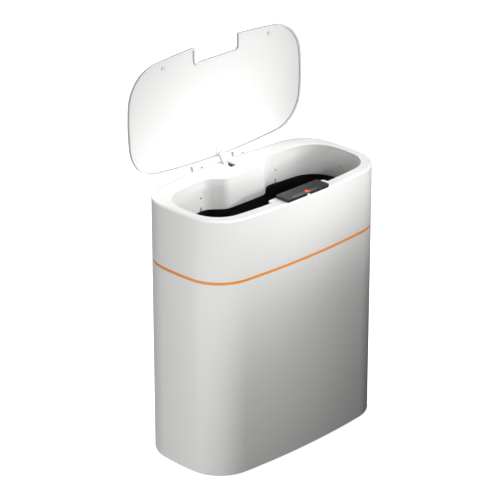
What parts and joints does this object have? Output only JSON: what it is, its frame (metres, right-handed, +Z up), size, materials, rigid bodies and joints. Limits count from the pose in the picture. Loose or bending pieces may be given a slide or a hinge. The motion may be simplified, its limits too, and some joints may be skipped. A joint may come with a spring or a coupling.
{
  "type": "sensor bin",
  "caption": "Tall oval waste bin with a motor-driven hinged lid, a sensor housing on the rim, a lift-off head and an inner bucket.",
  "frame": {"origin": "middle of the body on the floor", "axes": "+X along the long side, towards the battery door's side; -Y out of the front, where the sensor housing is; +Z up"},
  "size_m": [0.3126, 0.1698, 0.5259],
  "materials": {
    "white_shell": "smooth, slightly glossy white moulding",
    "white_lid": "smooth, slightly glossy white moulding",
    "orange_ring": "satin orange moulding",
    "black_bucket": "matte black moulding",
    "smoke_cover": "satin dark grey moulding",
    "smoke_window": "glossy smoked window",
    "red_lamp": "clear red lens",
    "steel": "plain steel",
    "nylon": "natural nylon",
    "board": "green circuit board",
    "nickel": "nickel-plated spring strip",
    "cell": "wrapped dry cell",
    "rubber": "matte rubber",
    "silicone": "milky silicone rubber",
    "lead": "insulated lead"
  },
  "bodies": {
    "base": {"outer_bucket": "white_shell", "inner_bucket": "black_bucket", "seat_ring": "orange_ring", "foot_front_left": "rubber", "foot_front_right": "rubber", "foot_rear_left": "rubber", "foot_rear_right": "rubber"},
    "head": {"head_shell": "white_shell", "inner_skirt": "white_shell", "drive_tray": "white_shell", "sensor_cover": "smoke_cover", "sensor_base": "smoke_cover", "switch_body": "smoke_cover", "sensor_window": "smoke_window", "ir_emitter": "smoke_window", "ir_receiver": "smoke_window", "status_lamp": "red_lamp", "tray_screw_inner_left": "steel", "tray_screw_inner_right": "steel", "tray_screw_outer_left": "steel", "tray_screw_outer_right": "steel", "hinge_pin_left": "steel", "hinge_pin_right": "steel", "first_axle": "steel", "second_axle": "steel", "drive_motor": "steel", "gear_plate_inner": "nylon", "gear_plate_outer": "nylon", "motor_end_cap": "nylon", "battery_box": "nylon", "sensor_board": "board", "control_board": "board", "battery_bridge": "nickel", "battery_contact_minus": "nickel", "battery_contact_plus": "nickel", "battery_cell_lower": "cell", "battery_cell_upper": "cell", "sensor_lead": "lead", "motor_lead": "lead", "battery_lead": "lead"},
    "lid": {"lid_skin": "white_lid", "lid_panel": "white_lid", "lift_lug": "nylon", "lid_pad_left": "silicone", "lid_pad_right": "silicone"},
    "crank": {"output_shaft": "steel", "output_gear": "nylon", "lift_crank": "nylon"},
    "rod": {"lift_rod": "nylon"},
    "second_stage": {"second_gear": "nylon"},
    "first_stage": {"first_gear": "nylon"},
    "rotor": {"motor_shaft": "steel", "motor_pinion": "nylon"},
    "battery_door": {"battery_door": "white_shell"},
    "power_switch": {"switch_slider": "smoke_cover"}
  },
  "joints": [
    {"name": "head_lift", "type": "slide", "parent": "base", "child": "head", "axis": [0, 0, 1], "range_m": [0, 0.08]},
    {"name": "lid_hinge", "type": "hinge", "parent": "head", "child": "lid", "pos_m": [0, 0.0839, 0.3628], "axis": [1, 0, 0], "range_deg": [0, 90.6]},
    {"name": "output_turn", "type": "hinge", "parent": "head", "child": "crank", "pos_m": [0, 0.064, 0.336], "axis": [1, 0, 0], "range_deg": [0, 90.7]},
    {"name": "rod_turn", "type": "hinge", "parent": "crank", "child": "rod", "pos_m": [0, 0.05892, 0.34343], "axis": [1, 0, 0], "range_deg": [-90.7, 0]},
    {"name": "second_gear_turn", "type": "hinge", "parent": "head", "child": "second_stage", "pos_m": [0, 0.05109, 0.33995], "axis": [1, 0, 0], "range_deg": [-398.8, 0]},
    {"name": "first_gear_turn", "type": "hinge", "parent": "head", "child": "first_stage", "pos_m": [0, 0.04359, 0.3319], "axis": [1, 0, 0], "range_deg": [0, 1355.6]},
    {"name": "motor_turn", "type": "hinge", "parent": "head", "child": "rotor", "pos_m": [0, 0.04056, 0.34248], "axis": [1, 0, 0], "range_deg": [-4608.6, 0]},
    {"name": "battery_door_pull", "type": "slide", "parent": "head", "child": "battery_door", "axis": [0, 1, 0], "range_m": [0, 0.015]},
    {"name": "power_switch_slide", "type": "slide", "parent": "head", "child": "power_switch", "axis": [1, 0, 0], "range_m": [0, 0.005]}
  ],
  "couplings": [
    {"joint": "output_turn", "follows": "lid_hinge", "ratio": 1},
    {"joint": "rod_turn", "follows": "lid_hinge", "ratio": -1},
    {"joint": "second_gear_turn", "follows": "lid_hinge", "ratio": -4.4},
    {"joint": "first_gear_turn", "follows": "lid_hinge", "ratio": 14.96},
    {"joint": "motor_turn", "follows": "lid_hinge", "ratio": -50.864}
  ]
}
